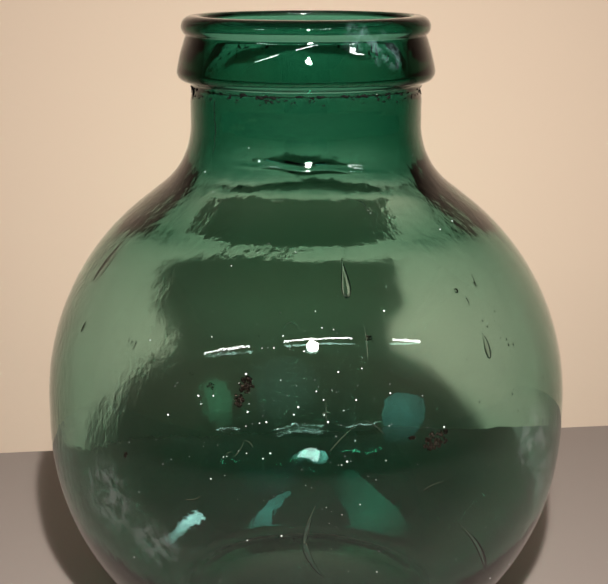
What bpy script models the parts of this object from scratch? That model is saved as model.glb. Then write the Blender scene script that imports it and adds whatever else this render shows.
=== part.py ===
"""Wide-mouth green glass demijohn: a blown jar body with a separate gather of glass laid on as its collar.

Run with: blender --background --python part.py
Metres, +Z up. The origin is the centre of the standing ring, on the surface that the jar stands on.
"""

import math

import bpy

# Driving dimensions, in metres and degrees.
TOTAL_HEIGHT = 0.330
BODY_RADIUS = 0.140
NECK_RADIUS = 0.0605
BORE_RADIUS = 0.0546
COLLAR_RADIUS = 0.0673
COLLAR_HEIGHT = 0.0333

# The body's outer outline: two arcs round the belly, a cone for the shoulder and a hollow fillet up to the neck.
LOWER_BELLY_Z = 0.1158
UPPER_BELLY_Z = 0.1280
UPPER_BELLY_ARC = 0.133
SHOULDER_ANGLE = 52.0
NECK_FILLET = 0.0415

# The base: a rounded heel, a flat standing ring and a domed push-up inside it.
HEEL_ARC = 0.014
RING_WIDTH = 0.006
RING_FILLET = 0.009
PUSH_UP = 0.018

# The blown wall is thick at the base and the neck, and thin round the belly.
BASE_WALL = 0.0070
BELLY_WALL = 0.0026
NECK_WALL = NECK_RADIUS - BORE_RADIUS
BASE_WALL_TOP_Z = 0.012
BELLY_WALL_FROM_Z = 0.075
BELLY_WALL_TO_Z = 0.203
NECK_WALL_FROM_Z = 0.250

# The collar: a bead round the lip, a shallow groove, then a cone that widens down to a rounded lower edge.
BEAD_ARC = 0.0054
LIP_LAND = 0.0024
LIP_FILLET = 0.0020
GROOVE_RADIUS = 0.0622
GROOVE_DROP = 0.0100
COLLAR_EDGE_ARC = 0.0050

# The neck's end sits in a short socket in the collar's underside. The two fuse when they are laid on hot,
# and are kept apart here by a hair.
SOCKET_DEPTH = 0.0056
FUSED_GAP = 0.0003

TURN_STEPS = 48
MERGE_DISTANCE = 0.00005

GLASS_COLOUR = (0.035, 0.205, 0.110, 1.0)
GLASS_ROUGHNESS = 0.04
GLASS_IOR = 1.52


def arc(centre, radius, start, end, steps, outward=1):
    """Points of an arc in the (radius, height) plane, each with its outward normal. Angles are in degrees."""
    points = []
    for step in range(steps + 1):
        angle = math.radians(start + (end - start) * step / steps)
        normal = (math.cos(angle), math.sin(angle))
        point = (centre[0] + radius * normal[0], centre[1] + radius * normal[1])
        points.append((point, (outward * normal[0], outward * normal[1])))
    return points


def points_of(outline):
    return [point for point, _ in outline]


def smooth_step(low, high, value):
    share = min(max((value - low) / (high - low), 0.0), 1.0)
    return share * share * (3 - 2 * share)


def wall_thickness(height):
    """Thickness of the blown wall at a height on its outside."""
    above_base = smooth_step(BASE_WALL_TOP_Z, BELLY_WALL_FROM_Z, height)
    towards_neck = smooth_step(BELLY_WALL_TO_Z, NECK_WALL_FROM_Z, height)
    wall = BASE_WALL + (BELLY_WALL - BASE_WALL) * above_base
    return wall + (NECK_WALL - wall) * towards_neck


def neck_end_z():
    return TOTAL_HEIGHT - COLLAR_HEIGHT + SOCKET_DEPTH - FUSED_GAP


def shoulder_outline():
    """The neck's straight wall, the hollow fillet below it and the upper half of the belly, from the top down."""
    upper_centre = (BODY_RADIUS - UPPER_BELLY_ARC, UPPER_BELLY_Z)
    cosine = math.cos(math.radians(SHOULDER_ANGLE))
    sine = math.sin(math.radians(SHOULDER_ANGLE))
    # The fillet's centre is where its circle and the belly's share the cone between them as a tangent.
    across = NECK_RADIUS + NECK_FILLET
    reach = UPPER_BELLY_ARC + NECK_FILLET - (across - upper_centre[0]) * cosine
    fillet_centre = (across, UPPER_BELLY_Z + reach / sine)
    neck = [((NECK_RADIUS, neck_end_z()), (1.0, 0.0))]
    fillet = arc(fillet_centre, NECK_FILLET, 180, 180 + SHOULDER_ANGLE, 7, outward=-1)
    belly = arc(upper_centre, UPPER_BELLY_ARC, SHOULDER_ANGLE, 0, 8)
    return neck + fillet + belly


def base_outline():
    """The lower half of the belly, the heel, the standing ring and the push-up, from the belly to the axis."""
    heel_reach = BODY_RADIUS - HEEL_ARC
    heel_centre = (math.sqrt(heel_reach**2 - (LOWER_BELLY_Z - HEEL_ARC) ** 2), HEEL_ARC)
    heel_angle = math.degrees(math.atan2(HEEL_ARC - LOWER_BELLY_Z, heel_centre[0]))
    ring_centre = (heel_centre[0] - RING_WIDTH, RING_FILLET)
    # The dome's radius is the one at which its circle touches the fillet's from outside.
    rise = PUSH_UP - RING_FILLET
    dome_radius = (ring_centre[0] ** 2 + rise**2 - RING_FILLET**2) / (2 * (rise + RING_FILLET))
    dome_centre = (0.0, PUSH_UP - dome_radius)
    dome_angle = math.degrees(math.asin(ring_centre[0] / (dome_radius + RING_FILLET)))
    belly = arc((0.0, LOWER_BELLY_Z), BODY_RADIUS, 0, heel_angle, 9)
    heel = arc(heel_centre, HEEL_ARC, heel_angle, -90, 4)[1:]
    ring = arc(ring_centre, RING_FILLET, -90, -90 - dome_angle, 2)
    dome = arc(dome_centre, dome_radius, 90 - dome_angle, 90, 4, outward=-1)[1:]
    return belly + heel + ring + dome


def body_profile():
    """Half section of the blown body: up its inside from the axis, over the neck's end, and down its outside."""
    outside = shoulder_outline() + base_outline()
    inside = []
    for (radius, height), (across, up) in outside:
        wall = wall_thickness(height)
        inside.append((max(radius - wall * across, 0.0), height - wall * up))
    return list(reversed(inside)) + points_of(outside)


def collar_profile():
    """Closed half section of the collar: down its outside from the lip, in under its edge and up its bore."""
    bottom = TOTAL_HEIGHT - COLLAR_HEIGHT
    shelf = bottom + SOCKET_DEPTH
    socket = NECK_RADIUS + FUSED_GAP
    lip_centre = (BORE_RADIUS + LIP_FILLET, TOTAL_HEIGHT - LIP_FILLET)
    bead_centre = (lip_centre[0] + LIP_LAND, TOTAL_HEIGHT - BEAD_ARC)
    bead_end = -math.degrees(math.acos((GROOVE_RADIUS - bead_centre[0]) / BEAD_ARC))
    groove = (GROOVE_RADIUS, TOTAL_HEIGHT - GROOVE_DROP)
    edge_centre = (COLLAR_RADIUS - COLLAR_EDGE_ARC, bottom + COLLAR_EDGE_ARC)
    # The cone runs from the groove to where it touches the lower edge's circle.
    across = groove[0] - edge_centre[0]
    up = groove[1] - edge_centre[1]
    touch = math.degrees(math.atan2(up, across) - math.acos(COLLAR_EDGE_ARC / math.hypot(across, up)))
    bead = points_of(arc(bead_centre, BEAD_ARC, 90, bead_end, 8))
    edge = points_of(arc(edge_centre, COLLAR_EDGE_ARC, touch, -90, 6))
    bore = points_of(arc(lip_centre, LIP_FILLET, 180, 90, 3))
    return bead + [groove] + edge + [(socket, bottom), (socket, shelf), (BORE_RADIUS, shelf)] + bore


def glass_material(name):
    material = bpy.data.materials.new(name)
    material.use_nodes = True
    shader = material.node_tree.nodes["Principled BSDF"]
    shader.inputs["Base Color"].default_value = GLASS_COLOUR
    shader.inputs["Roughness"].default_value = GLASS_ROUGHNESS
    shader.inputs["Metallic"].default_value = 0.0
    shader.inputs["IOR"].default_value = GLASS_IOR
    shader.inputs["Transmission Weight"].default_value = 0.9
    return material


def turned_part(name, profile, closed, collection):
    """Turns a half section about the Z axis into one solid object."""
    count = len(profile)
    edges = [(i, i + 1) for i in range(count - 1)]
    if closed:
        edges.append((count - 1, 0))
    mesh = bpy.data.meshes.new(name)
    mesh.from_pydata([(radius, 0.0, height) for radius, height in profile], edges, [])
    part = bpy.data.objects.new(name, mesh)
    collection.objects.link(part)
    screw = part.modifiers.new("turn", "SCREW")
    screw.axis = "Z"
    screw.angle = math.tau
    screw.steps = TURN_STEPS
    screw.render_steps = TURN_STEPS
    screw.use_merge_vertices = True
    screw.merge_threshold = MERGE_DISTANCE
    screw.use_smooth_shade = True
    mesh.materials.append(glass_material(name + "_glass"))
    return part


def clear_scene():
    for existing in list(bpy.data.objects):
        bpy.data.objects.remove(existing)


def main():
    clear_scene()
    demijohn = bpy.data.collections.new("demijohn")
    bpy.context.scene.collection.children.link(demijohn)
    turned_part("jar_body", body_profile(), False, demijohn)
    turned_part("lip_collar", collar_profile(), True, demijohn)


main()
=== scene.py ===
"""Looks of the wide-mouth green glass demijohn: one blown glass skin with its ripples, creases and bubbles,
and the dirt, dust and mineral stains that lie on it.

Metres, +Z up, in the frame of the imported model. Angles round the jar are in degrees, from +X towards +Y,
so -90 faces the camera. Places on the wall are an angle and a height; sizes on the wall are in millimetres.
"""

import math
import random

import bpy
import numpy as np
from mathutils import Matrix, Vector, noise


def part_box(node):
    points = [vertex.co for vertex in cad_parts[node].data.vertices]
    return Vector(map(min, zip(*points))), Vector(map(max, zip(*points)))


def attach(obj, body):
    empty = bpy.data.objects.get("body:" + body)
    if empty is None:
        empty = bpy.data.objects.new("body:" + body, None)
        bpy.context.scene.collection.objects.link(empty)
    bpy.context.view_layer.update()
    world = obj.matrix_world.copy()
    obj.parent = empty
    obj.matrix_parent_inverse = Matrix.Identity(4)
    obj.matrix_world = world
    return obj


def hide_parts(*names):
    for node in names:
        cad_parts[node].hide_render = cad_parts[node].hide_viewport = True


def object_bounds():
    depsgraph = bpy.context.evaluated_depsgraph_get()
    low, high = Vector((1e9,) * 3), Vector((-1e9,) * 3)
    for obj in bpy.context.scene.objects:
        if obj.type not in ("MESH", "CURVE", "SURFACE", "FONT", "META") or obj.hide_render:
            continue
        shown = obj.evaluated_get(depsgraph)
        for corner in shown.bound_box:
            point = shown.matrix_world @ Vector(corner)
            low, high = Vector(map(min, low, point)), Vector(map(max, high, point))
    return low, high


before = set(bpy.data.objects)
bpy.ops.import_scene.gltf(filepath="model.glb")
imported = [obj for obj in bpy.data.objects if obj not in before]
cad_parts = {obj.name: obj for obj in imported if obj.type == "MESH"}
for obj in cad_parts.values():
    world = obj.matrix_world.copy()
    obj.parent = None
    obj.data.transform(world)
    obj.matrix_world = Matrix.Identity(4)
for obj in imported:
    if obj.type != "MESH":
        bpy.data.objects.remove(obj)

CAD_LOW, CAD_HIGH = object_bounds()
COLLAR_LOW, COLLAR_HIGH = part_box("lip_collar")
MM = 0.001
FRONT = -90.0

# Sizes from the frame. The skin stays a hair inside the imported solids' box.
HEIGHT = CAD_HIGH.z - 0.15 * MM
BELLY_R = CAD_HIGH.x - 0.2 * MM
COLLAR_R = COLLAR_HIGH.x - 0.2 * MM
COLLAR_Z = COLLAR_LOW.z

# The outline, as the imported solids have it: neck, bore, shoulder fillet, two belly arcs, heel and push-up.
NECK_R = 60.4 * MM
BORE_R = 54.6 * MM
LOWER_BELLY_Z = 115.8 * MM
UPPER_BELLY_Z = 128.0 * MM
UPPER_BELLY_ARC = 133.0 * MM
SHOULDER_ANGLE = 52.0
NECK_FILLET = 41.5 * MM
HEEL_ARC = 14.0 * MM
RING_WIDTH = 6.0 * MM
RING_FILLET = 9.0 * MM
PUSH_UP = 18.0 * MM

# The lip: a rolled bead, a shallow groove and a cone with a rounded lower edge over a deep crease.
BEAD_ARC = 5.4 * MM
BEAD_R = 59.0 * MM
LIP_FILLET = 2.0 * MM
GROOVE_R = 62.2 * MM
COLLAR_EDGE_ARC = 5.0 * MM
CREASE_DEPTH = 0.9 * MM
CONE_SWELL = 0.45 * MM

# The wall's thickness: it thins from the base to the belly, grows slowly and then quickly into the thick
# ring at the shoulder, and thins again to the neck. Each pair is the heights between which it changes.
BASE_WALL = 7.0 * MM
BELLY_WALL = 2.6 * MM
BASE_TO_BELLY = (12 * MM, 75 * MM)
SLOW_GROWTH = 2.6 * MM
SLOW_GROWTH_FROM = 183 * MM
SLOW_GROWTH_LENGTH = 46 * MM
QUICK_GROWTH = 3.4 * MM
QUICK_GROWTH_HEIGHTS = (222 * MM, 239 * MM)
RING_TO_NECK = (236 * MM, 258 * MM)

# Steps round the jar, the spacing of the inner surface's rings, and the first point of the neck's outline
# that the inner surface follows.
COLUMNS = 240
INSIDE_SPACING = 2.9 * MM
INSIDE_FROM = 8

# The long crease that the tool left across the front of the neck's root: angle, height in millimetres. It
# lies within the band of heights.
TOOL_CREASE_BAND = (245 * MM, 270 * MM)
TOOL_CREASE = (
    (-128, 261.5), (-118, 260.4), (-104, 261.0), (-92, 259.4), (-78, 259.9), (-64, 257.6), (-50, 256.2),
)

# The ring of thick glass inside the shoulder has thicker sides: where they are and how far they reach, in
# degrees, how much thicker they are, in millimetres, and the heights over which they swell and end.
RING_SIDES = (-120, -60, 60, 120)
RING_SIDE_REACH = 60.0
RING_SIDE_WALL = 4.8
RING_SIDE_START = (219 * MM, 239 * MM)
RING_SIDE_END = (241 * MM, 262 * MM)

# The blown surfaces' ripples: height and size in millimetres, how far they are drawn out upwards, seed.
OUTER_BODY_WAVES = ((0.13, 50, 1.5, 3.1), (0.036, 18, 2.0, 8.7))
OUTER_NECK_WAVES = ((0.16, 34, 0.4, 5.3), (0.08, 12, 0.35, 6.1))
INNER_BODY_WAVES = ((0.20, 62, 1.2, 12.4), (0.10, 27, 1.5, 14.9))
INNER_RING_WAVES = ((0.38, 9, 0.8, 23.1), (0.60, 24, 0.7, 27.7))
LOW_BACK_WAVES = ((0.26, 13, 1.0, 31.4), (0.6, 34, 0.8, 33.9))

# A swelling on the inside, low at the back: its place, reach and height.
SWELLING = (-14 * MM, 120 * MM, 51 * MM)
SWELLING_REACH = 26 * MM
SWELLING_HEIGHT = 0.9


def smooth_step(low, high, value):
    share = min(max((value - low) / (high - low), 0.0), 1.0)
    return share * share * (3 - 2 * share)


def hump(value, centre, width):
    """A rounded hump that is 1 at its centre and 0 past its width."""
    distance = abs(value - centre) / width
    return (1 - distance * distance) ** 2 if distance < 1 else 0.0


def turn_between(angle, other):
    """Signed turn from one angle to another, within half a turn."""
    return (angle - other + 180) % 360 - 180


def arc(centre, radius, start, end, spacing):
    """Points of an arc in the (radius, height) plane, about `spacing` apart. Angles are in degrees."""
    turn = math.radians(end - start)
    steps = max(2, round(abs(turn) * radius / spacing))
    angles = [math.radians(start) + turn * step / steps for step in range(steps + 1)]
    return [(centre[0] + radius * math.cos(a), centre[1] + radius * math.sin(a)) for a in angles]


def line(start, end, spacing):
    steps = max(1, round(math.dist(start, end) / spacing))
    shares = [step / steps for step in range(steps + 1)]
    return [(start[0] + (end[0] - start[0]) * s, start[1] + (end[1] - start[1]) * s) for s in shares]


def joined(*stretches):
    """One run of points, without the point that two stretches share."""
    run = []
    for stretch in stretches:
        for point in stretch:
            if not run or math.dist(point, run[-1]) > 0.05 * MM:
                run.append(point)
    return run


def lip_outline():
    """The lip from the top of its bead down its outside and under its lower edge to the crease."""
    bead_centre = (BEAD_R, HEIGHT - BEAD_ARC)
    bead_end = -math.degrees(math.acos((GROOVE_R - BEAD_R) / BEAD_ARC))
    edge_centre = (COLLAR_R - COLLAR_EDGE_ARC, COLLAR_Z + COLLAR_EDGE_ARC)
    groove = (GROOVE_R, HEIGHT - 10 * MM)
    bead = arc(bead_centre, BEAD_ARC, 90, bead_end, 0.9 * MM)
    edge = arc(edge_centre, COLLAR_EDGE_ARC, 16, -80, 1.0 * MM)
    cone = line(groove, edge[0], 1.5 * MM)
    steps = len(cone) - 1
    swell = [4 * CONE_SWELL * i * (steps - i) / steps**2 for i in range(steps + 1)]
    cone = [(radius + out, height) for (radius, height), out in zip(cone, swell)]
    return joined(bead, cone, edge)


def neck_outline():
    """The crease under the lip, the neck and the hollow fillet that turns into the shoulder."""
    crease = [
        (NECK_R + 0.3 * MM, COLLAR_Z - 0.6 * MM),
        (NECK_R - 0.35 * CREASE_DEPTH, COLLAR_Z - 2.0 * MM),
        (NECK_R - CREASE_DEPTH, COLLAR_Z - 3.6 * MM),
        (NECK_R - CREASE_DEPTH, COLLAR_Z - 5.2 * MM),
        (NECK_R - 0.5 * CREASE_DEPTH, COLLAR_Z - 7.2 * MM),
        (NECK_R, COLLAR_Z - 9.6 * MM),
    ]
    across = NECK_R + NECK_FILLET
    upper_centre = (BELLY_R - UPPER_BELLY_ARC, UPPER_BELLY_Z)
    slope = math.radians(SHOULDER_ANGLE)
    reach = UPPER_BELLY_ARC + NECK_FILLET - (across - upper_centre[0]) * math.cos(slope)
    fillet_centre = (across, UPPER_BELLY_Z + reach / math.sin(slope))
    neck = line(crease[-1], (NECK_R, fillet_centre[1]), 1.3 * MM)
    tooled = arc(fillet_centre, NECK_FILLET, 180, 213, 0.8 * MM)
    plain = arc(fillet_centre, NECK_FILLET, 213, 180 + SHOULDER_ANGLE, 1.7 * MM)
    return joined(crease, neck, tooled, plain)


def belly_outline():
    upper = arc((BELLY_R - UPPER_BELLY_ARC, UPPER_BELLY_Z), UPPER_BELLY_ARC, SHOULDER_ANGLE, 0, 2.6 * MM)
    lower_angle = -math.degrees(math.asin((LOWER_BELLY_Z - HEEL_ARC) / (BELLY_R - HEEL_ARC)))
    lower = arc((0.0, LOWER_BELLY_Z), BELLY_R, 0, lower_angle, 2.8 * MM)
    return joined(upper, lower)


def base_outline():
    """The heel, the flat standing ring and the push-up inside it, in to the axis."""
    heel_reach = BELLY_R - HEEL_ARC
    heel_centre = (math.sqrt(heel_reach**2 - (LOWER_BELLY_Z - HEEL_ARC) ** 2), HEEL_ARC)
    heel_angle = math.degrees(math.atan2(HEEL_ARC - LOWER_BELLY_Z, heel_centre[0]))
    ring_centre = (heel_centre[0] - RING_WIDTH, RING_FILLET)
    rise = PUSH_UP - RING_FILLET
    dome_radius = (ring_centre[0] ** 2 + rise**2 - RING_FILLET**2) / (2 * (rise + RING_FILLET))
    dome_angle = math.degrees(math.asin(ring_centre[0] / (dome_radius + RING_FILLET)))
    heel = arc(heel_centre, HEEL_ARC, heel_angle, -90, 1.8 * MM)
    ring = line(heel[-1], (ring_centre[0], 0.0), 2.0 * MM)
    inner_ring = arc(ring_centre, RING_FILLET, -90, -90 - dome_angle, 1.6 * MM)
    dome = arc((0.0, PUSH_UP - dome_radius), dome_radius, 90 - dome_angle, 90, 3.6 * MM)
    return joined(heel, ring, inner_ring, dome)


def normals_of(points):
    """Outward normals of an outline that runs down its outer side."""
    normals = []
    for i in range(len(points)):
        before = points[max(i - 1, 0)]
        after = points[min(i + 1, len(points) - 1)]
        across, up = after[0] - before[0], after[1] - before[1]
        length = math.hypot(across, up)
        normals.append((-up / length, across / length))
    return normals


def wall_thickness(height):
    """The blown wall's thickness: most at the base and in a ring where the shoulder starts."""
    wall = BASE_WALL + (BELLY_WALL - BASE_WALL) * smooth_step(*BASE_TO_BELLY, height)
    rise = min(max((height - SLOW_GROWTH_FROM) / SLOW_GROWTH_LENGTH, 0.0), 1.0)
    wall += SLOW_GROWTH * rise * rise + QUICK_GROWTH * smooth_step(*QUICK_GROWTH_HEIGHTS, height)
    return wall + (NECK_R - BORE_R - wall) * smooth_step(*RING_TO_NECK, height)


def inside_outline():
    """The inner surface, from the axis over the push-up and up the wall to the mouth and the lip's top."""
    body = joined(neck_outline()[INSIDE_FROM:], belly_outline(), base_outline())
    inner = []
    for (radius, height), (across, up) in zip(body, normals_of(body)):
        wall = wall_thickness(height)
        inner.append((max(radius - wall * across, 0.0), height - wall * up))
    inner = [point for point in inner if point[0] > 0.5 * MM]
    inner.reverse()
    thinned = [inner[0]]
    for point in inner[1:]:
        if math.dist(point, thinned[-1]) > INSIDE_SPACING:
            thinned.append(point)
    bore_top = HEIGHT - LIP_FILLET
    bore = line((BORE_R, thinned[-1][1] + 2 * MM), (BORE_R, bore_top), 2.6 * MM)
    lip = arc((BORE_R + LIP_FILLET, bore_top), LIP_FILLET, 180, 90, 0.8 * MM)
    return joined(thinned, bore, lip)


OUTSIDE = joined(lip_outline(), neck_outline(), belly_outline(), base_outline())
OUTSIDE_NORMALS = normals_of(OUTSIDE)

# The outside again as tables by run, the distance along the outline from the lip's top.
RUNS = np.concatenate([[0.0], np.cumsum([math.dist(a, b) for a, b in zip(OUTSIDE, OUTSIDE[1:])])])
OUTSIDE_TABLE = np.array([(*point, *normal) for point, normal in zip(OUTSIDE, OUTSIDE_NORMALS)])
LOWEST_SIDE = int(np.argmin(OUTSIDE_TABLE[:, 1]))


def run_at(height):
    """The run at which the outer wall passes a height."""
    heights = OUTSIDE_TABLE[: LOWEST_SIDE + 1, 1]
    return float(np.interp(-height, -heights, RUNS[: LOWEST_SIDE + 1]))


def wave(point, size, stretch, seed):
    """Smooth noise from -1 to 1 whose bumps are about `size` across, drawn out along Z by `stretch`."""
    x, y, z = point
    return noise.noise(Vector((x / size + seed, y / size - seed, z / (size * stretch) + seed * 0.37)))


def waves(point, rows):
    """The sum of several sizes of noise, in millimetres."""
    return sum(height * wave(point, size * MM, stretch, seed) for height, size, stretch, seed in rows)


def left_side(point):
    """0 on the right of the jar and 1 on its left, where the glass is more rippled."""
    return smooth_step(30 * MM, -110 * MM, point[0])


def tool_crease(point, angle, height):
    """A pressed line with a raised lip over it, in millimetres, across the front of the neck's root."""
    if not TOOL_CREASE_BAND[0] < height < TOOL_CREASE_BAND[1]:
        return 0.0
    turns = [turn_between(a, FRONT) for a, _ in TOOL_CREASE]
    turn = turn_between(angle, FRONT)
    if not turns[0] < turn < turns[-1]:
        return 0.0
    path = float(np.interp(turn, turns, [z for _, z in TOOL_CREASE])) + 0.5 * wave(point, 9 * MM, 1.0, 21.3)
    offset = height / MM - path
    ends = smooth_step(turns[0], turns[0] + 14, turn) * (1 - smooth_step(turns[-1] - 10, turns[-1], turn))
    depth = 0.15 + 0.15 * wave(point, 14 * MM, 1.0, 2.2)
    return ends * depth * (0.4 * hump(offset, 1.4, 2.0) - hump(offset, -0.4, 1.6))


def outer_relief(point, angle, height):
    """How far the outer surface stands proud of its outline, in metres."""
    on_body = smooth_step(4 * MM, 30 * MM, height) * (1 - smooth_step(255 * MM, 280 * MM, height))
    relief = on_body * waves(point, OUTER_BODY_WAVES)
    # A fine ripple, strongest on the left.
    relief += on_body * (0.010 + 0.016 * left_side(point)) * wave(point, 8 * MM, 2.2, 1.9)
    on_neck = smooth_step(262 * MM, 285 * MM, height)
    relief += on_neck * waves(point, OUTER_NECK_WAVES)
    # Small tool marks round the neck's root.
    relief += 0.06 * hump(height, 266 * MM, 13 * MM) * wave(point, 5 * MM, 0.7, 9.9)
    relief += tool_crease(point, angle, height)
    return relief * MM


def ring_bulge(angle, height):
    """How much thicker the ring at the shoulder is on some sides than on others, in millimetres."""
    if not RING_SIDE_START[0] < height < RING_SIDE_END[1]:
        return 0.0
    sides = math.hypot(*(hump(turn_between(angle, side), 0.0, RING_SIDE_REACH) for side in RING_SIDES))
    rise = smooth_step(*RING_SIDE_START, height)
    fall = 1 - smooth_step(*RING_SIDE_END, height)
    return RING_SIDE_WALL * sides * rise * fall


def inner_relief(point, angle, height):
    """How far the inner surface stands proud of its outline, into the jar, in metres."""
    on_body = smooth_step(8 * MM, 40 * MM, height)
    relief = on_body * waves(point, INNER_BODY_WAVES)
    relief += (0.016 + 0.014 * left_side(point)) * on_body * wave(point, 10 * MM, 1.8, 17.7)
    low_back = smooth_step(20 * MM, 70 * MM, point[1]) * hump(height, 48 * MM, 46 * MM)
    relief += low_back * waves(point, LOW_BACK_WAVES)
    relief += SWELLING_HEIGHT * hump(math.dist(point, SWELLING), 0.0, SWELLING_REACH)
    relief += hump(height, 236 * MM, 26 * MM) * waves(point, INNER_RING_WAVES)
    relief += ring_bulge(angle, height)
    return relief * MM


def ring_of(radius, height, relief, normal):
    ring = []
    for column in range(COLUMNS):
        angle = math.tau * column / COLUMNS
        point = (radius * math.cos(angle), radius * math.sin(angle), height)
        proud = relief(point, math.degrees(angle), height)
        out = radius + proud * normal[0]
        ring.append((out * math.cos(angle), out * math.sin(angle), height + proud * normal[1]))
    return ring


def on_wall(angle, run, depth):
    """A point of the wall at an angle and a run, `depth` metres under its outer surface."""
    radius, height, across, up = (np.interp(run, RUNS, OUTSIDE_TABLE[:, i]) for i in range(4))
    turn = math.radians(angle)
    point = (radius * math.cos(turn), radius * math.sin(turn), height)
    inset = outer_relief(point, angle, height) - depth
    out = radius + inset * across
    return (out * math.cos(turn), out * math.sin(turn), height + inset * up)


class Skin:
    """Vertices and faces of one piece, gathered from several closed shells."""

    def __init__(self):
        self.vertices = []
        self.faces = []

    def add(self, vertices, faces, flipped=False):
        first = len(self.vertices)
        self.vertices.extend(vertices)
        for face in faces:
            corners = reversed(face) if flipped else face
            self.faces.append(tuple(first + corner for corner in corners))


def globe(around, along):
    """Unit points and faces of a sphere whose poles lie on the first axis, facing out."""
    points = [(1.0, 0.0, 0.0)]
    for row in range(1, along):
        tilt = math.pi * row / along
        for column in range(around):
            turn = math.tau * column / around
            across = math.sin(tilt)
            points.append((math.cos(tilt), across * math.cos(turn), across * math.sin(turn)))
    points.append((-1.0, 0.0, 0.0))
    faces = []
    last = len(points) - 1
    for column in range(around):
        after = (column + 1) % around
        faces.append((0, 1 + column, 1 + after))
        faces.append((last, last - around + after, last - around + column))
        for row in range(along - 2):
            here = 1 + row * around
            faces.append((here + column, here + around + column, here + around + after, here + after))
    return points, faces


def blob(skin, angle, height, length, width, thick, depth, tilt=0.0, taper=0.0, bend=0.0, rough=0.0,
         void=False, around=12, along=14):
    """One rounded blob in or on the wall. Sizes in millimetres. `tilt` leans its length to the right of
    upright, in degrees. `taper` thins its upper end. `bend` bows it to the right, in millimetres. `rough`
    makes its outline ragged. A void's faces point into it."""
    points, faces = globe(around, along)
    lean = math.radians(tilt)
    run = run_at(height * MM)
    radius = float(np.interp(run, RUNS, OUTSIDE_TABLE[:, 0])) / MM
    vertices = []
    for x, y, z in points:
        narrow = 1 - taper * (0.5 + 0.5 * x)
        ragged = 1 + rough * noise.noise(Vector((x * 1.7 + angle, y * 1.7 + height, z * 1.7)))
        up = 0.5 * length * x * ragged
        side = 0.5 * width * y * narrow * ragged + bend * (1 - x * x)
        high = up * math.cos(lean) - side * math.sin(lean)
        wide = up * math.sin(lean) + side * math.cos(lean)
        inset = depth - 0.5 * thick * z * (0.4 + 0.6 * narrow)
        vertices.append(on_wall(angle + math.degrees(wide / radius), run - high * MM, inset * MM))
    skin.add(vertices, faces, flipped=not void)


# Bubbles drawn out in the blown wall: angle, height, length, width, thickness, depth, tilt, taper, bend.
BUBBLES = (
    (-80.4, 216.6, 21.0, 6.6, 1.9, 1.6, 0, 0.92, 0.3),
    (-68.7, 244.4, 6.0, 1.0, 0.8, 2.2, -35, 0.3, 1.3),
    (-48.2, 180.4, 11.0, 4.6, 0.6, 1.3, 2, 0.25, 0.0),
    (-51.3, 206.4, 2.6, 2.4, 1.1, 1.4, 0, 0.0, 0.0),
    (-49.3, 201.5, 4.4, 0.7, 0.6, 1.4, -4, 0.0, 0.4),
    (-149.3, 181.9, 6.5, 2.6, 0.6, 1.3, 12, 0.2, 0.0),
    (-155.0, 211.0, 25.0, 9.0, 0.5, 1.5, 4, 0.3, 1.5),
    (-77.3, 190.0, 16.0, 0.8, 0.6, 1.3, 1, 0.5, 0.2),
    (-86.2, 160.5, 16.0, 0.6, 0.5, 1.3, 0, 0.3, 0.0),
    (-86.2, 161.5, 3.6, 0.9, 0.7, 1.0, 84, 0.0, 0.1),
    (-82.4, 150.9, 21.0, 0.8, 0.6, 1.4, 48, 0.4, -0.8),
    (-77.0, 153.7, 13.0, 0.7, 0.5, 1.4, -50, 0.3, 1.0),
    (-93.3, 196.2, 8.0, 0.7, 0.6, 1.3, 90, 0.0, -3.6),
    (-102.8, 143.9, 8.5, 0.6, 0.5, 1.3, 32, 0.2, 0.8),
    (-101.0, 146.5, 6.0, 0.6, 0.5, 1.5, -55, 0.2, 1.2),
    (-104.6, 141.5, 4.5, 0.5, 0.5, 1.2, 60, 0.2, -0.6),
    (-89.3, 108.5, 21.0, 3.4, 1.2, 1.5, 15, 0.88, -0.8),
    (-88.4, 89.5, 23.0, 4.6, 1.4, 1.8, 155, 0.85, 1.6),
    (-52.6, 82.0, 46.0, 4.4, 1.3, 1.7, -38, 0.80, 1.6),
    (-112.0, 118.0, 9.0, 0.8, 0.6, 1.4, 70, 0.3, 1.0),
    (-65.0, 122.0, 12.0, 0.7, 0.6, 1.4, 76, 0.3, -1.2),
    (38.0, 176.0, 12.0, 3.6, 0.9, 1.3, -3, 0.5, 0.2),
    (96.0, 205.0, 15.0, 4.0, 1.0, 1.4, 6, 0.8, 0.4),
    (141.0, 128.0, 9.0, 2.6, 0.9, 1.3, 4, 0.4, 0.0),
    (8.0, 96.0, 18.0, 1.0, 0.7, 1.4, 24, 0.5, 1.2),
    (178.0, 158.0, 20.0, 0.9, 0.6, 1.3, -14, 0.5, 1.0),
)


def add_seeds(skin, draw):
    """Tiny round bubbles: a band of them down the right of the front, and a thin scatter all round."""
    places = []
    for _ in range(54):
        share = draw.random()
        places.append((-48 + 17 * share + draw.gauss(0, 5.5), 208 - 92 * share + draw.gauss(0, 9)))
    for _ in range(70):
        places.append((draw.uniform(-180, 180), draw.uniform(45, 215)))
    for angle, height in places:
        size = 0.45 + 0.6 * draw.random() ** 3
        blob(skin, angle, height, size * draw.uniform(1.0, 1.9), size, size, draw.uniform(0.9, 1.6),
             tilt=draw.uniform(-12, 12), void=True, around=6, along=5)


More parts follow.
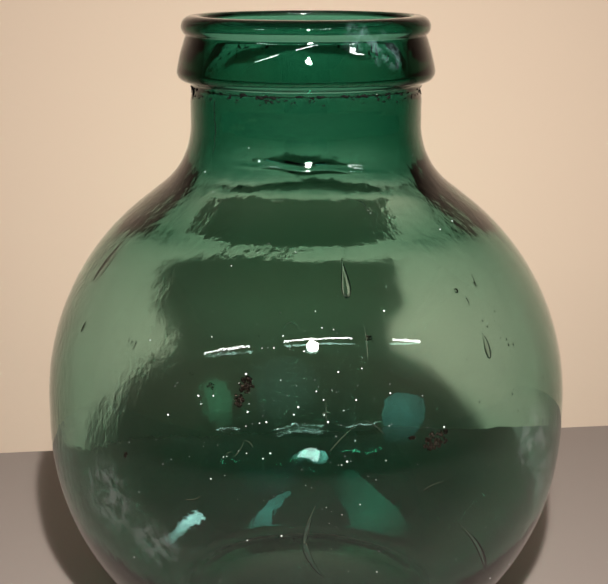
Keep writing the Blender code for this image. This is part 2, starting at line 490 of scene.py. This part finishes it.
def glass_skin():
    """The whole jar as one closed skin: outside, lip, inside, and the voids in its wall."""
    inside = inside_outline()
    rings = []
    for (radius, height), normal in zip(OUTSIDE[:-1], OUTSIDE_NORMALS):
        rings.append(ring_of(radius, height, outer_relief, normal))
    outer_count = len(rings)
    inner_normals = [(-across, -up) for across, up in normals_of(inside)]
    for (radius, height), normal in zip(inside[1:], inner_normals[1:]):
        rings.append(ring_of(radius, height, inner_relief, normal))
    vertices = [vertex for ring in rings for vertex in ring]
    faces = []

    def strip(upper, lower):
        for column in range(COLUMNS):
            after = (column + 1) % COLUMNS
            faces.append((upper * COLUMNS + column, lower * COLUMNS + column,
                          lower * COLUMNS + after, upper * COLUMNS + after))

    for row in range(outer_count - 1):
        strip(row, row + 1)
    for row in range(outer_count, len(rings) - 1):
        strip(row, row + 1)
    strip(len(rings) - 1, 0)
    under, over = len(vertices), len(vertices) + 1
    vertices.extend(((0.0, 0.0, OUTSIDE[-1][1]), (0.0, 0.0, inside[0][1])))
    last, first = (outer_count - 1) * COLUMNS, outer_count * COLUMNS
    for column in range(COLUMNS):
        after = (column + 1) % COLUMNS
        faces.append((last + column, under, last + after))
        faces.append((first + after, over, first + column))
    skin = Skin()
    skin.add(vertices, faces)
    for angle, height, length, width, thick, depth, tilt, taper, bend in BUBBLES:
        blob(skin, angle, height, length, width, thick, depth, tilt, taper, bend, void=True,
             around=16, along=18)
    add_seeds(skin, random.Random(41))
    return skin


def crease_dirt(draw):
    """Ragged black dirt packed in the crease under the lip, in short runs and grains, all round."""
    skin = Skin()
    crease = (COLLAR_Z - 2.6 * MM) / MM
    for _ in range(230):
        angle = draw.uniform(-180, 180)
        drop = draw.random() ** 1.6 * 4.6
        size = draw.uniform(0.5, 1.5) * (1 - 0.09 * drop)
        length = size * draw.uniform(0.7, 1.3)
        width = size * draw.uniform(1.2, 3.4)
        blob(skin, angle, crease - drop, length, width, 0.7, 0.02,
             tilt=draw.gauss(0, 18), rough=0.9, around=7, along=6)
    return skin


def neck_dirt(draw):
    """A thin upright line of dirt down the left of the neck, and a dark notch at its edge."""
    skin = Skin()
    for i in range(9):
        height = 289 - 2.9 * i
        blob(skin, -138.5 + draw.gauss(0, 0.25), height, 4.2, draw.uniform(0.35, 0.75), 0.4, 0.03,
             tilt=draw.gauss(0, 3), rough=0.7, around=7, along=6)
    blob(skin, -164.6, 292.0, 5.4, 2.4, 1.2, 0.0, rough=0.8)
    return skin


INNER_BELLY_R = 138

# Crusts of old brown residue stuck to the inside: angle, height, length, width.
CRUSTS = (
    (-102.0, 172.6, 7.0, 7.5),
    (-103.4, 166.0, 5.6, 4.6),
    (-64.4, 144.2, 7.5, 12.5),
    (-69.5, 146.9, 2.6, 3.0),
    (-61.7, 147.4, 2.4, 2.6),
    (-128.0, 131.0, 2.4, 2.0),
    (72.0, 120.0, 5.0, 7.0),
    (118.0, 88.0, 4.0, 4.4),
)


def residue(draw):
    """Brown grains heaped on the inner surface within each crust's oval."""
    skin = Skin()
    for angle, height, length, width in CRUSTS:
        grains = max(3, round(length * width / 2.4))
        for _ in range(grains):
            turn = draw.uniform(0, math.tau)
            reach = 0.5 * math.sqrt(draw.random())
            place = height + reach * length * math.sin(turn)
            aside = math.degrees(reach * width * math.cos(turn) / INNER_BELLY_R)
            size = draw.uniform(0.9, 2.3)
            wall = wall_thickness(place * MM) / MM
            blob(skin, angle + aside, place, size, size * draw.uniform(0.8, 1.4), 0.7, wall + 0.1,
                 tilt=draw.uniform(0, 90), rough=1.0, around=7, along=6)
    return skin


def dust(draw):
    """Pale specks on the outside, thickest on the front of the belly, where the coarse ones are."""
    skin = Skin()
    places = [(draw.gauss(FRONT, 17), draw.gauss(160, 34)) for _ in range(120)]
    places += [(draw.uniform(-180, 180), draw.uniform(40, 300)) for _ in range(110)]
    coarse = [(draw.gauss(FRONT - 4, 13), draw.gauss(168, 15)) for _ in range(18)]
    for angle, height in places + coarse:
        if not 30 < height < 300:
            continue
        size = 0.28 + 0.62 * draw.random() ** 4
        if (angle, height) in coarse:
            size = draw.uniform(0.55, 1.1)
        blob(skin, angle, height, size, size * draw.uniform(0.7, 1.5), 0.25, 0.0,
             tilt=draw.uniform(0, 90), rough=0.5, around=5, along=4)
    return skin


def new_object(name, skin, material):
    mesh = bpy.data.meshes.new(name)
    mesh.from_pydata(skin.vertices, [], skin.faces)
    mesh.shade_smooth()
    mesh.materials.append(material)
    piece = bpy.data.objects.new(name, mesh)
    bpy.context.scene.collection.objects.link(piece)
    return piece


class Nodes:
    """Short calls for building one material's node tree."""

    def __init__(self, name):
        self.material = bpy.data.materials.new(name)
        self.material.use_nodes = True
        self.tree = self.material.node_tree
        self.shader = self.tree.nodes["Principled BSDF"]
        self.output = self.tree.nodes["Material Output"]
        self.place = self.tree.nodes.new("ShaderNodeTexCoord").outputs["Object"]

    def link(self, source, target):
        self.tree.links.new(source, target)

    def math(self, operation, first, second=0.0):
        node = self.tree.nodes.new("ShaderNodeMath")
        node.operation = operation
        for socket, value in zip(node.inputs, (first, second)):
            if isinstance(value, (int, float)):
                socket.default_value = value
            else:
                self.link(value, socket)
        return node.outputs["Value"]

    def ramp(self, value, start, end, low=0.0, high=1.0):
        """`value` mapped smoothly from the range start..end to low..high."""
        node = self.tree.nodes.new("ShaderNodeMapRange")
        node.interpolation_type = "SMOOTHSTEP"
        self.link(value, node.inputs["Value"])
        for name, number in (("From Min", start), ("From Max", end), ("To Min", low), ("To Max", high)):
            node.inputs[name].default_value = number
        return node.outputs["Result"]

    def noise(self, size, detail=3.0, stretch=(1, 1, 1), roughness=0.5):
        """Noise whose bumps are about `size` metres across, drawn out along each axis by `stretch`."""
        mapping = self.tree.nodes.new("ShaderNodeMapping")
        mapping.inputs["Scale"].default_value = tuple(1 / (size * s) for s in stretch)
        self.link(self.place, mapping.inputs["Vector"])
        node = self.tree.nodes.new("ShaderNodeTexNoise")
        node.inputs["Scale"].default_value = 1.0
        node.inputs["Detail"].default_value = detail
        node.inputs["Roughness"].default_value = roughness
        self.link(mapping.outputs["Vector"], node.inputs["Vector"])
        return node.outputs["Fac"]

    def near(self, angle, radius, height, reach):
        """1 at a place on the jar, fading to 0 at `reach` from it. Millimetres and degrees."""
        turn = math.radians(angle)
        node = self.tree.nodes.new("ShaderNodeVectorMath")
        node.operation = "DISTANCE"
        self.link(self.place, node.inputs[0])
        node.inputs[1].default_value = (
            radius * MM * math.cos(turn), radius * MM * math.sin(turn), height * MM)
        return self.ramp(node.outputs["Value"], 0.35 * reach * MM, reach * MM, 1.0, 0.0)

    def mix(self, share, first, second):
        node = self.tree.nodes.new("ShaderNodeMix")
        node.data_type = "RGBA"
        self.link(share, node.inputs["Factor"])
        for name, value in (("A", first), ("B", second)):
            socket = [s for s in node.inputs if s.name == name and s.type == "RGBA"][0]
            if isinstance(value, tuple):
                socket.default_value = (*value, 1.0)
            else:
                self.link(value, socket)
        return [s for s in node.outputs if s.type == "RGBA"][0]

    def bump(self, height, distance, strength=1.0):
        node = self.tree.nodes.new("ShaderNodeBump")
        node.inputs["Distance"].default_value = distance
        if isinstance(strength, float):
            node.inputs["Strength"].default_value = strength
        else:
            self.link(strength, node.inputs["Strength"])
        self.link(height, node.inputs["Height"])
        return node.outputs["Normal"]

    def axis(self, name):
        node = self.tree.nodes.new("ShaderNodeSeparateXYZ")
        self.link(self.place, node.inputs["Vector"])
        return node.outputs[name]


# The glass: its colour through the wall, how strong that is, the darker tints of neck and collar, and a
# painted shade that darkens the foot.
GLASS_COLOUR = (0.124, 0.557, 0.433)
GLASS_DENSITY = 208.0
UNTINTED = (1.0, 1.0, 1.0)
# Painted shade: the glass is darkened towards the foot, standing in for the shaded floor seen through it.
FOOT_PAINTED_SHADE = (0.26, 0.76, 0.62)
NECK_TINT = (0.31, 0.64, 0.58)
COLLAR_TINT = (0.60, 1.0, 1.0)

# How high the skin's finest bumps are, in metres, and how strong the ripple is in the shoulder's ring.
PEEL_HEIGHT = 0.00002
RIPPLE_HEIGHT = 0.000055
RIPPLE_IN_RING = 4.0

# Where thin grey-white mineral bloom dims the glass: angle, radius, height and reach in millimetres.
BLOOM_COVER = 0.060
BLOOM = (
    (-68.0, 65.0, 322.0, 9.0), (-58.0, 66.0, 317.0, 10.0), (-50.0, 66.0, 313.0, 8.0),
    (-134.0, 136.0, 106.0, 24.0), (-122.0, 134.0, 88.0, 18.0), (-36.0, 138.0, 128.0, 22.0),
    (-31.0, 136.0, 106.0, 18.0),
    (60.0, 138.0, 110.0, 26.0), (150.0, 137.0, 100.0, 22.0),
)


def green_glass():
    """Clear green glass: darker in the neck, with painted shade darkening the foot, and with patches of
    bloom and a fine ripple.
    """
    nodes = Nodes("green_glass")
    shader = nodes.shader
    height = nodes.axis("Z")
    # Painted shade: darkens the glass towards the foot.
    foot = nodes.mix(nodes.ramp(height, 0.105, 0.035), UNTINTED, FOOT_PAINTED_SHADE)
    neck = nodes.mix(nodes.ramp(height, 0.240, 0.264), foot, NECK_TINT)
    tint = nodes.mix(nodes.ramp(height, 0.291, 0.299), neck, COLLAR_TINT)
    nodes.link(tint, shader.inputs["Base Color"])
    bloom = None
    for angle, radius, level, reach in BLOOM:
        patch = nodes.near(angle, radius, level, reach)
        bloom = patch if bloom is None else nodes.math("MAXIMUM", bloom, patch)
    mottle = nodes.ramp(nodes.noise(0.006, 6.0, roughness=0.65), 0.42, 0.62)
    low = nodes.ramp(height, 0.105, 0.030, 0.0, 0.25)
    cover = nodes.math("MULTIPLY", nodes.math("MAXIMUM", bloom, low), mottle)
    clear = nodes.math("SUBTRACT", 1.0, nodes.math("MULTIPLY", cover, BLOOM_COVER))
    nodes.link(clear, shader.inputs["Transmission Weight"])
    shader.inputs["Roughness"].default_value = 0.0
    shader.inputs["IOR"].default_value = 1.5
    # A fine orange peel over a coarser ripple, both stronger on the left and in the shoulder's ring.
    orange_peel = nodes.noise(0.0021, 2.0, (1, 1, 2.2))
    left = nodes.ramp(nodes.axis("X"), 0.02, -0.10, 0.4, 1.6)
    below = nodes.ramp(height, 0.216, 0.230)
    above = nodes.ramp(height, 0.262, 0.244)
    ring = nodes.math("MULTIPLY", below, above)
    peel = nodes.bump(orange_peel, PEEL_HEIGHT, nodes.math("ADD", left, ring))
    ripple = nodes.noise(0.0046, 2.0, (1, 1, 1.5))
    ripple_side = nodes.ramp(nodes.axis("X"), 0.03, -0.09, 0.15, 1.0)
    rippled = nodes.math("MAXIMUM", ripple_side, nodes.math("MULTIPLY", ring, RIPPLE_IN_RING))
    wavy = nodes.bump(ripple, RIPPLE_HEIGHT, rippled)
    nodes.link(peel, wavy.node.inputs["Normal"])
    nodes.link(wavy, shader.inputs["Normal"])
    absorption = nodes.tree.nodes.new("ShaderNodeVolumeAbsorption")
    absorption.inputs["Color"].default_value = (*GLASS_COLOUR, 1.0)
    absorption.inputs["Density"].default_value = GLASS_DENSITY
    nodes.link(absorption.outputs["Volume"], nodes.output.inputs["Volume"])
    return nodes.material


def crust_material(name, dark, light, specular=0.4):
    """Matt and grainy, speckled between two colours."""
    nodes = Nodes(name)
    speckle = nodes.noise(0.0008, 5.0)
    nodes.link(nodes.mix(nodes.ramp(speckle, 0.35, 0.65), dark, light), nodes.shader.inputs["Base Color"])
    nodes.shader.inputs["Roughness"].default_value = 0.85
    nodes.shader.inputs["Specular IOR Level"].default_value = specular
    nodes.link(nodes.bump(speckle, 0.0003), nodes.shader.inputs["Normal"])
    return nodes.material


def make_jar():
    jar = new_object("jar_glass", glass_skin(), green_glass())
    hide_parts("jar_body", "lip_collar")
    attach(jar, "root")


def make_dirt():
    black = crust_material("crease_dirt", (0.0015, 0.0016, 0.0014), (0.006, 0.006, 0.005), 0.1)
    brown = crust_material("brown_residue", (0.022, 0.006, 0.005), (0.10, 0.030, 0.022))
    pale = crust_material("pale_dust", (0.60, 0.66, 0.62), (0.90, 0.92, 0.90))
    for name, skin, material in (
        ("crease_dirt", crease_dirt(random.Random(7)), black),
        ("neck_dirt", neck_dirt(random.Random(11)), black),
        ("brown_residue", residue(random.Random(5)), brown),
        ("dust_specks", dust(random.Random(23)), pale),
    ):
        piece = new_object(name, skin, material)
        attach(piece, "root")


CAMERA_PLACE = (-0.001, -0.6845, 0.3598)
CAMERA_PITCH = 14.535
CAMERA_LENS = 77.0

# The stage. The bench's far edge runs a little askew.
FLOOR_COLOUR = (0.26, 0.215, 0.19)
WALL_COLOUR = (0.76, 0.59, 0.45)
BENCH_EDGE_Y = 0.253
BENCH_EDGE_SLOPE = 0.125
WALL_Y = 0.50
STAGE_SIDE = 2.6
STAGE_FRONT = -7.0
LOWER_FLOOR_Z = -0.45
LOWER_FLOOR_BACK = 3.0
WALL_TOP = 2.6


def stage_material(name, colour, roughness, one_sided=False):
    """A plain matt surface. One-sided, it is seen from its front only, so that no wall hides the jar."""
    nodes = Nodes(name)
    nodes.shader.inputs["Base Color"].default_value = (*colour, 1.0)
    nodes.shader.inputs["Roughness"].default_value = roughness
    nodes.shader.inputs["Specular IOR Level"].default_value = 0.2
    if one_sided:
        clear = nodes.tree.nodes.new("ShaderNodeBsdfTransparent")
        either = nodes.tree.nodes.new("ShaderNodeMixShader")
        back = nodes.tree.nodes.new("ShaderNodeNewGeometry").outputs["Backfacing"]
        nodes.link(back, either.inputs["Fac"])
        nodes.link(nodes.shader.outputs["BSDF"], either.inputs[1])
        nodes.link(clear.outputs["BSDF"], either.inputs[2])
        nodes.link(either.outputs["Shader"], nodes.output.inputs["Surface"])
    return nodes.material


def sheet(name, corners, material):
    """A flat sheet of the stage. Its front is the side from which the corners run anticlockwise."""
    skin = Skin()
    skin.add(corners, [(0, 1, 2, 3)])
    plane = new_object(name, skin, material)


def floor_sheet(name, height, left_back, right_back, material):
    """A level sheet from the stage's front to a back edge that may run askew."""
    side, front = STAGE_SIDE, STAGE_FRONT
    corners = [(-side, front), (side, front), (side, right_back), (-side, left_back)]
    sheet(name, [(x, y, height) for x, y in corners], material)


def wall_sheet(name, start, end, material):
    """An upright sheet whose front is on the right of the way from `start` to `end`, seen from above."""
    corners = [(*start, LOWER_FLOOR_Z), (*end, LOWER_FLOOR_Z), (*end, WALL_TOP), (*start, WALL_TOP)]
    sheet(name, corners, material)


def make_stage():
    floor = stage_material("pale_floor", FLOOR_COLOUR, 0.7)
    wall = stage_material("beige_wall", WALL_COLOUR, 0.95, one_sided=True)
    side, front, back = STAGE_SIDE, STAGE_FRONT, WALL_Y
    askew = BENCH_EDGE_SLOPE * side
    floor_sheet("bench_top", 0, BENCH_EDGE_Y - askew, BENCH_EDGE_Y + askew, floor)
    floor_sheet("lower_floor", LOWER_FLOOR_Z, LOWER_FLOOR_BACK, LOWER_FLOOR_BACK, floor)
    wall_sheet("back_wall", (-side, back), (side, back), wall)
    wall_sheet("left_wall", (-side, front), (-side, back), wall)
    wall_sheet("right_wall", (side, back), (side, front), wall)


def aim(thing, target):
    thing.rotation_euler = (Vector(target) - thing.location).to_track_quat("-Z", "Y").to_euler()


def area_light(name, location, target, size, power, colour=(1, 1, 1), size_y=None, spread=180.0):
    data = bpy.data.lights.new(name, "AREA")
    data.shape = "RECTANGLE" if size_y else "DISK"
    data.size = size
    if size_y:
        data.size_y = size_y
    data.energy = power
    data.color = colour
    data.spread = math.radians(spread)
    light = bpy.data.objects.new(name, data)
    light.location = location
    aim(light, target)
    bpy.context.scene.collection.objects.link(light)
    return light


WARM_WHITE = (1.0, 0.97, 0.93)

# The key stands just over the camera, with a dimmer and wider disc a hair behind it.
KEY_PLACE = (0.032, -0.640, 0.600)
KEY_HALO_PLACE = (0.032, -0.641, 0.600)
KEY_TARGET = (0.0, WALL_Y, -0.12)
KEY_SPREAD = 100.0

# The tubes' ends, seen from the belly's front, as turn to the right of straight ahead and rise over the
# level, in degrees.
SEEN_FROM = Vector((0.0, -0.125, 0.19))
TUBE_DISTANCE = 1.5
TUBE_WIDTH = 0.022
TUBE_POWER = 2.4
TUBE_COLOUR = (1.0, 1.0, 0.98)
TUBES = (
    ("tube_left", (-51, 27.0), (-29, 36.0)),
    ("tube_middle", (-12, 40.2), (26, 40.0)),
    ("tube_right", (46, 35.0), (60, 29.5)),
)

# Patches of window light mirrored in the jar's far wall: angle and height of the place on that wall, width
# and height of the light in millimetres, radiance, colour. Each light hangs inside the jar and shows only
# as a reflection.
MIRROR_GAP = 40.0 * MM
MIRRORED = (
    (90.0, 52.5, 6.4, 6.4, 500.0, (0.85, 1.0, 0.98)),
    (91.5, 50.5, 13.0, 6.0, 40.0, (0.30, 1.0, 0.80)),
    (96.0, 84.0, 13.0, 11.0, 0.5, (0.40, 1.0, 0.80)),
    (61.4, 70.0, 7.0, 8.0, 1.8, (0.20, 1.0, 0.90)),
    (116.1, 79.0, 5.0, 8.0, 1.5, (0.16, 1.0, 0.50)),
    (62.0, 13.0, 26.0, 10.0, 1.3, (0.05, 1.0, 0.60)),
    (105.1, 11.0, 13.0, 2.6, 2.6, (0.25, 1.0, 0.85)),
    (140.0, 16.0, 1.6, 4.6, 12.0, (0.60, 1.0, 0.95)),
    (102.1, 38.0, 13.0, 9.0, 0.9, (0.35, 1.0, 0.92)),
)

# Each patch is laid in layers, so that its edge fades: size and share of the radiance.
MIRRORED_LAYERS = (
    (1.70, 0.10), (1.45, 0.12), (1.20, 0.15), (0.95, 0.18), (0.70, 0.20), (0.45, 0.25),
)
MIRRORED_SPREAD = 48.0


def tube_end(turn, rise):
    """Where one end of a tube is."""
    turn, rise = math.radians(turn), math.radians(rise)
    way = Vector((math.sin(turn) * math.cos(rise), -math.cos(turn) * math.cos(rise), math.sin(rise)))
    return SEEN_FROM + TUBE_DISTANCE * way


def mirrored_light(name, angle, height, width, tall, radiance, colour):
    """A small ellipse of light that the camera sees mirrored at one place of the jar's far wall."""
    run = run_at(height * MM)
    place = Vector(on_wall(angle, run, wall_thickness(height * MM)))
    radius, _, across, up = (float(np.interp(run, RUNS, OUTSIDE_TABLE[:, i])) for i in range(4))
    turn = math.radians(angle)
    normal = Vector((across * math.cos(turn), across * math.sin(turn), up))
    view = (place - Vector(CAMERA_PLACE)).normalized()
    position = place + MIRROR_GAP * view.reflect(normal)
    # A layer's power is its radiance times pi times the ellipse's area.
    for layer, (size, share) in enumerate(MIRRORED_LAYERS):
        wide, high = size * width * MM, size * tall * MM
        power = share * radiance * math.pi * math.pi * wide * high / 4
        light = area_light(f"{name}_{layer}", position, place, wide, power, colour, high, MIRRORED_SPREAD)
        light.data.shape = "ELLIPSE"
        light.visible_diffuse = False
        light.visible_transmission = False
        light.visible_camera = False


def make_tube(name, start, end):
    """A thin tube of light between two ends, facing the belly."""
    length = (end - start).length
    tube = area_light(name, 0.5 * (start + end), SEEN_FROM, size=length, size_y=TUBE_WIDTH,
                      power=TUBE_POWER * length, colour=TUBE_COLOUR)
    along = (end - start).normalized()
    away = (tube.location - SEEN_FROM).normalized()
    across = away.cross(along).normalized()
    tube.rotation_euler = Matrix((along, across, along.cross(across))).transposed().to_euler()


def make_unseen(light):
    """Keeps a light out of reflections and out of what is seen through the glass."""
    light.visible_glossy = False
    light.visible_transmission = False


def make_lights():
    area_light("key", KEY_PLACE, KEY_TARGET, size=0.018, power=3.4, colour=WARM_WHITE, spread=KEY_SPREAD)
    area_light("key_halo", KEY_HALO_PLACE, KEY_TARGET, size=0.060, power=1.45, colour=WARM_WHITE,
               spread=KEY_SPREAD)
    # Three thin tubes high in front. Each shows as a bright dash on the belly, in line with the key's spot.
    for name, start, end in TUBES:
        make_tube(name, tube_end(*start), tube_end(*end))
    fill = area_light("soft_fill", (0.0, -2.9, 2.5), (0.0, -2.9, 0.0), size=4.4, size_y=2.4, power=17.0,
                      colour=WARM_WHITE, spread=110)
    make_unseen(fill)
    # The green light that the glass throws into its own shadow on the wall.
    glow = area_light("glass_glow", (0.0, 0.40, 0.10), (0.0, WALL_Y, 0.10), size=0.20, size_y=0.20,
                      power=0.020, colour=(0.10, 1.0, 0.42))
    make_unseen(glow)
    for number, patch in enumerate(MIRRORED):
        mirrored_light(f"mirrored_{number}", *patch)


def make_world():
    world = bpy.data.worlds.new("studio")
    world.use_nodes = True
    background = world.node_tree.nodes["Background"]
    background.inputs["Color"].default_value = (0.32, 0.31, 0.30, 1.0)
    background.inputs["Strength"].default_value = 0.10
    bpy.context.scene.world = world
    bpy.context.scene.view_settings.view_transform = "Standard"


def make_camera():
    data = bpy.data.cameras.new("camera")
    data.lens = CAMERA_LENS
    data.sensor_width = 36.0
    camera = bpy.data.objects.new("camera", data)
    camera.location = CAMERA_PLACE
    camera.rotation_euler = (math.radians(90 - CAMERA_PITCH), 0.0, 0.0)
    bpy.context.scene.collection.objects.link(camera)
    bpy.context.scene.camera = camera


make_jar()
make_dirt()
make_stage()
make_lights()
make_world()
make_camera()
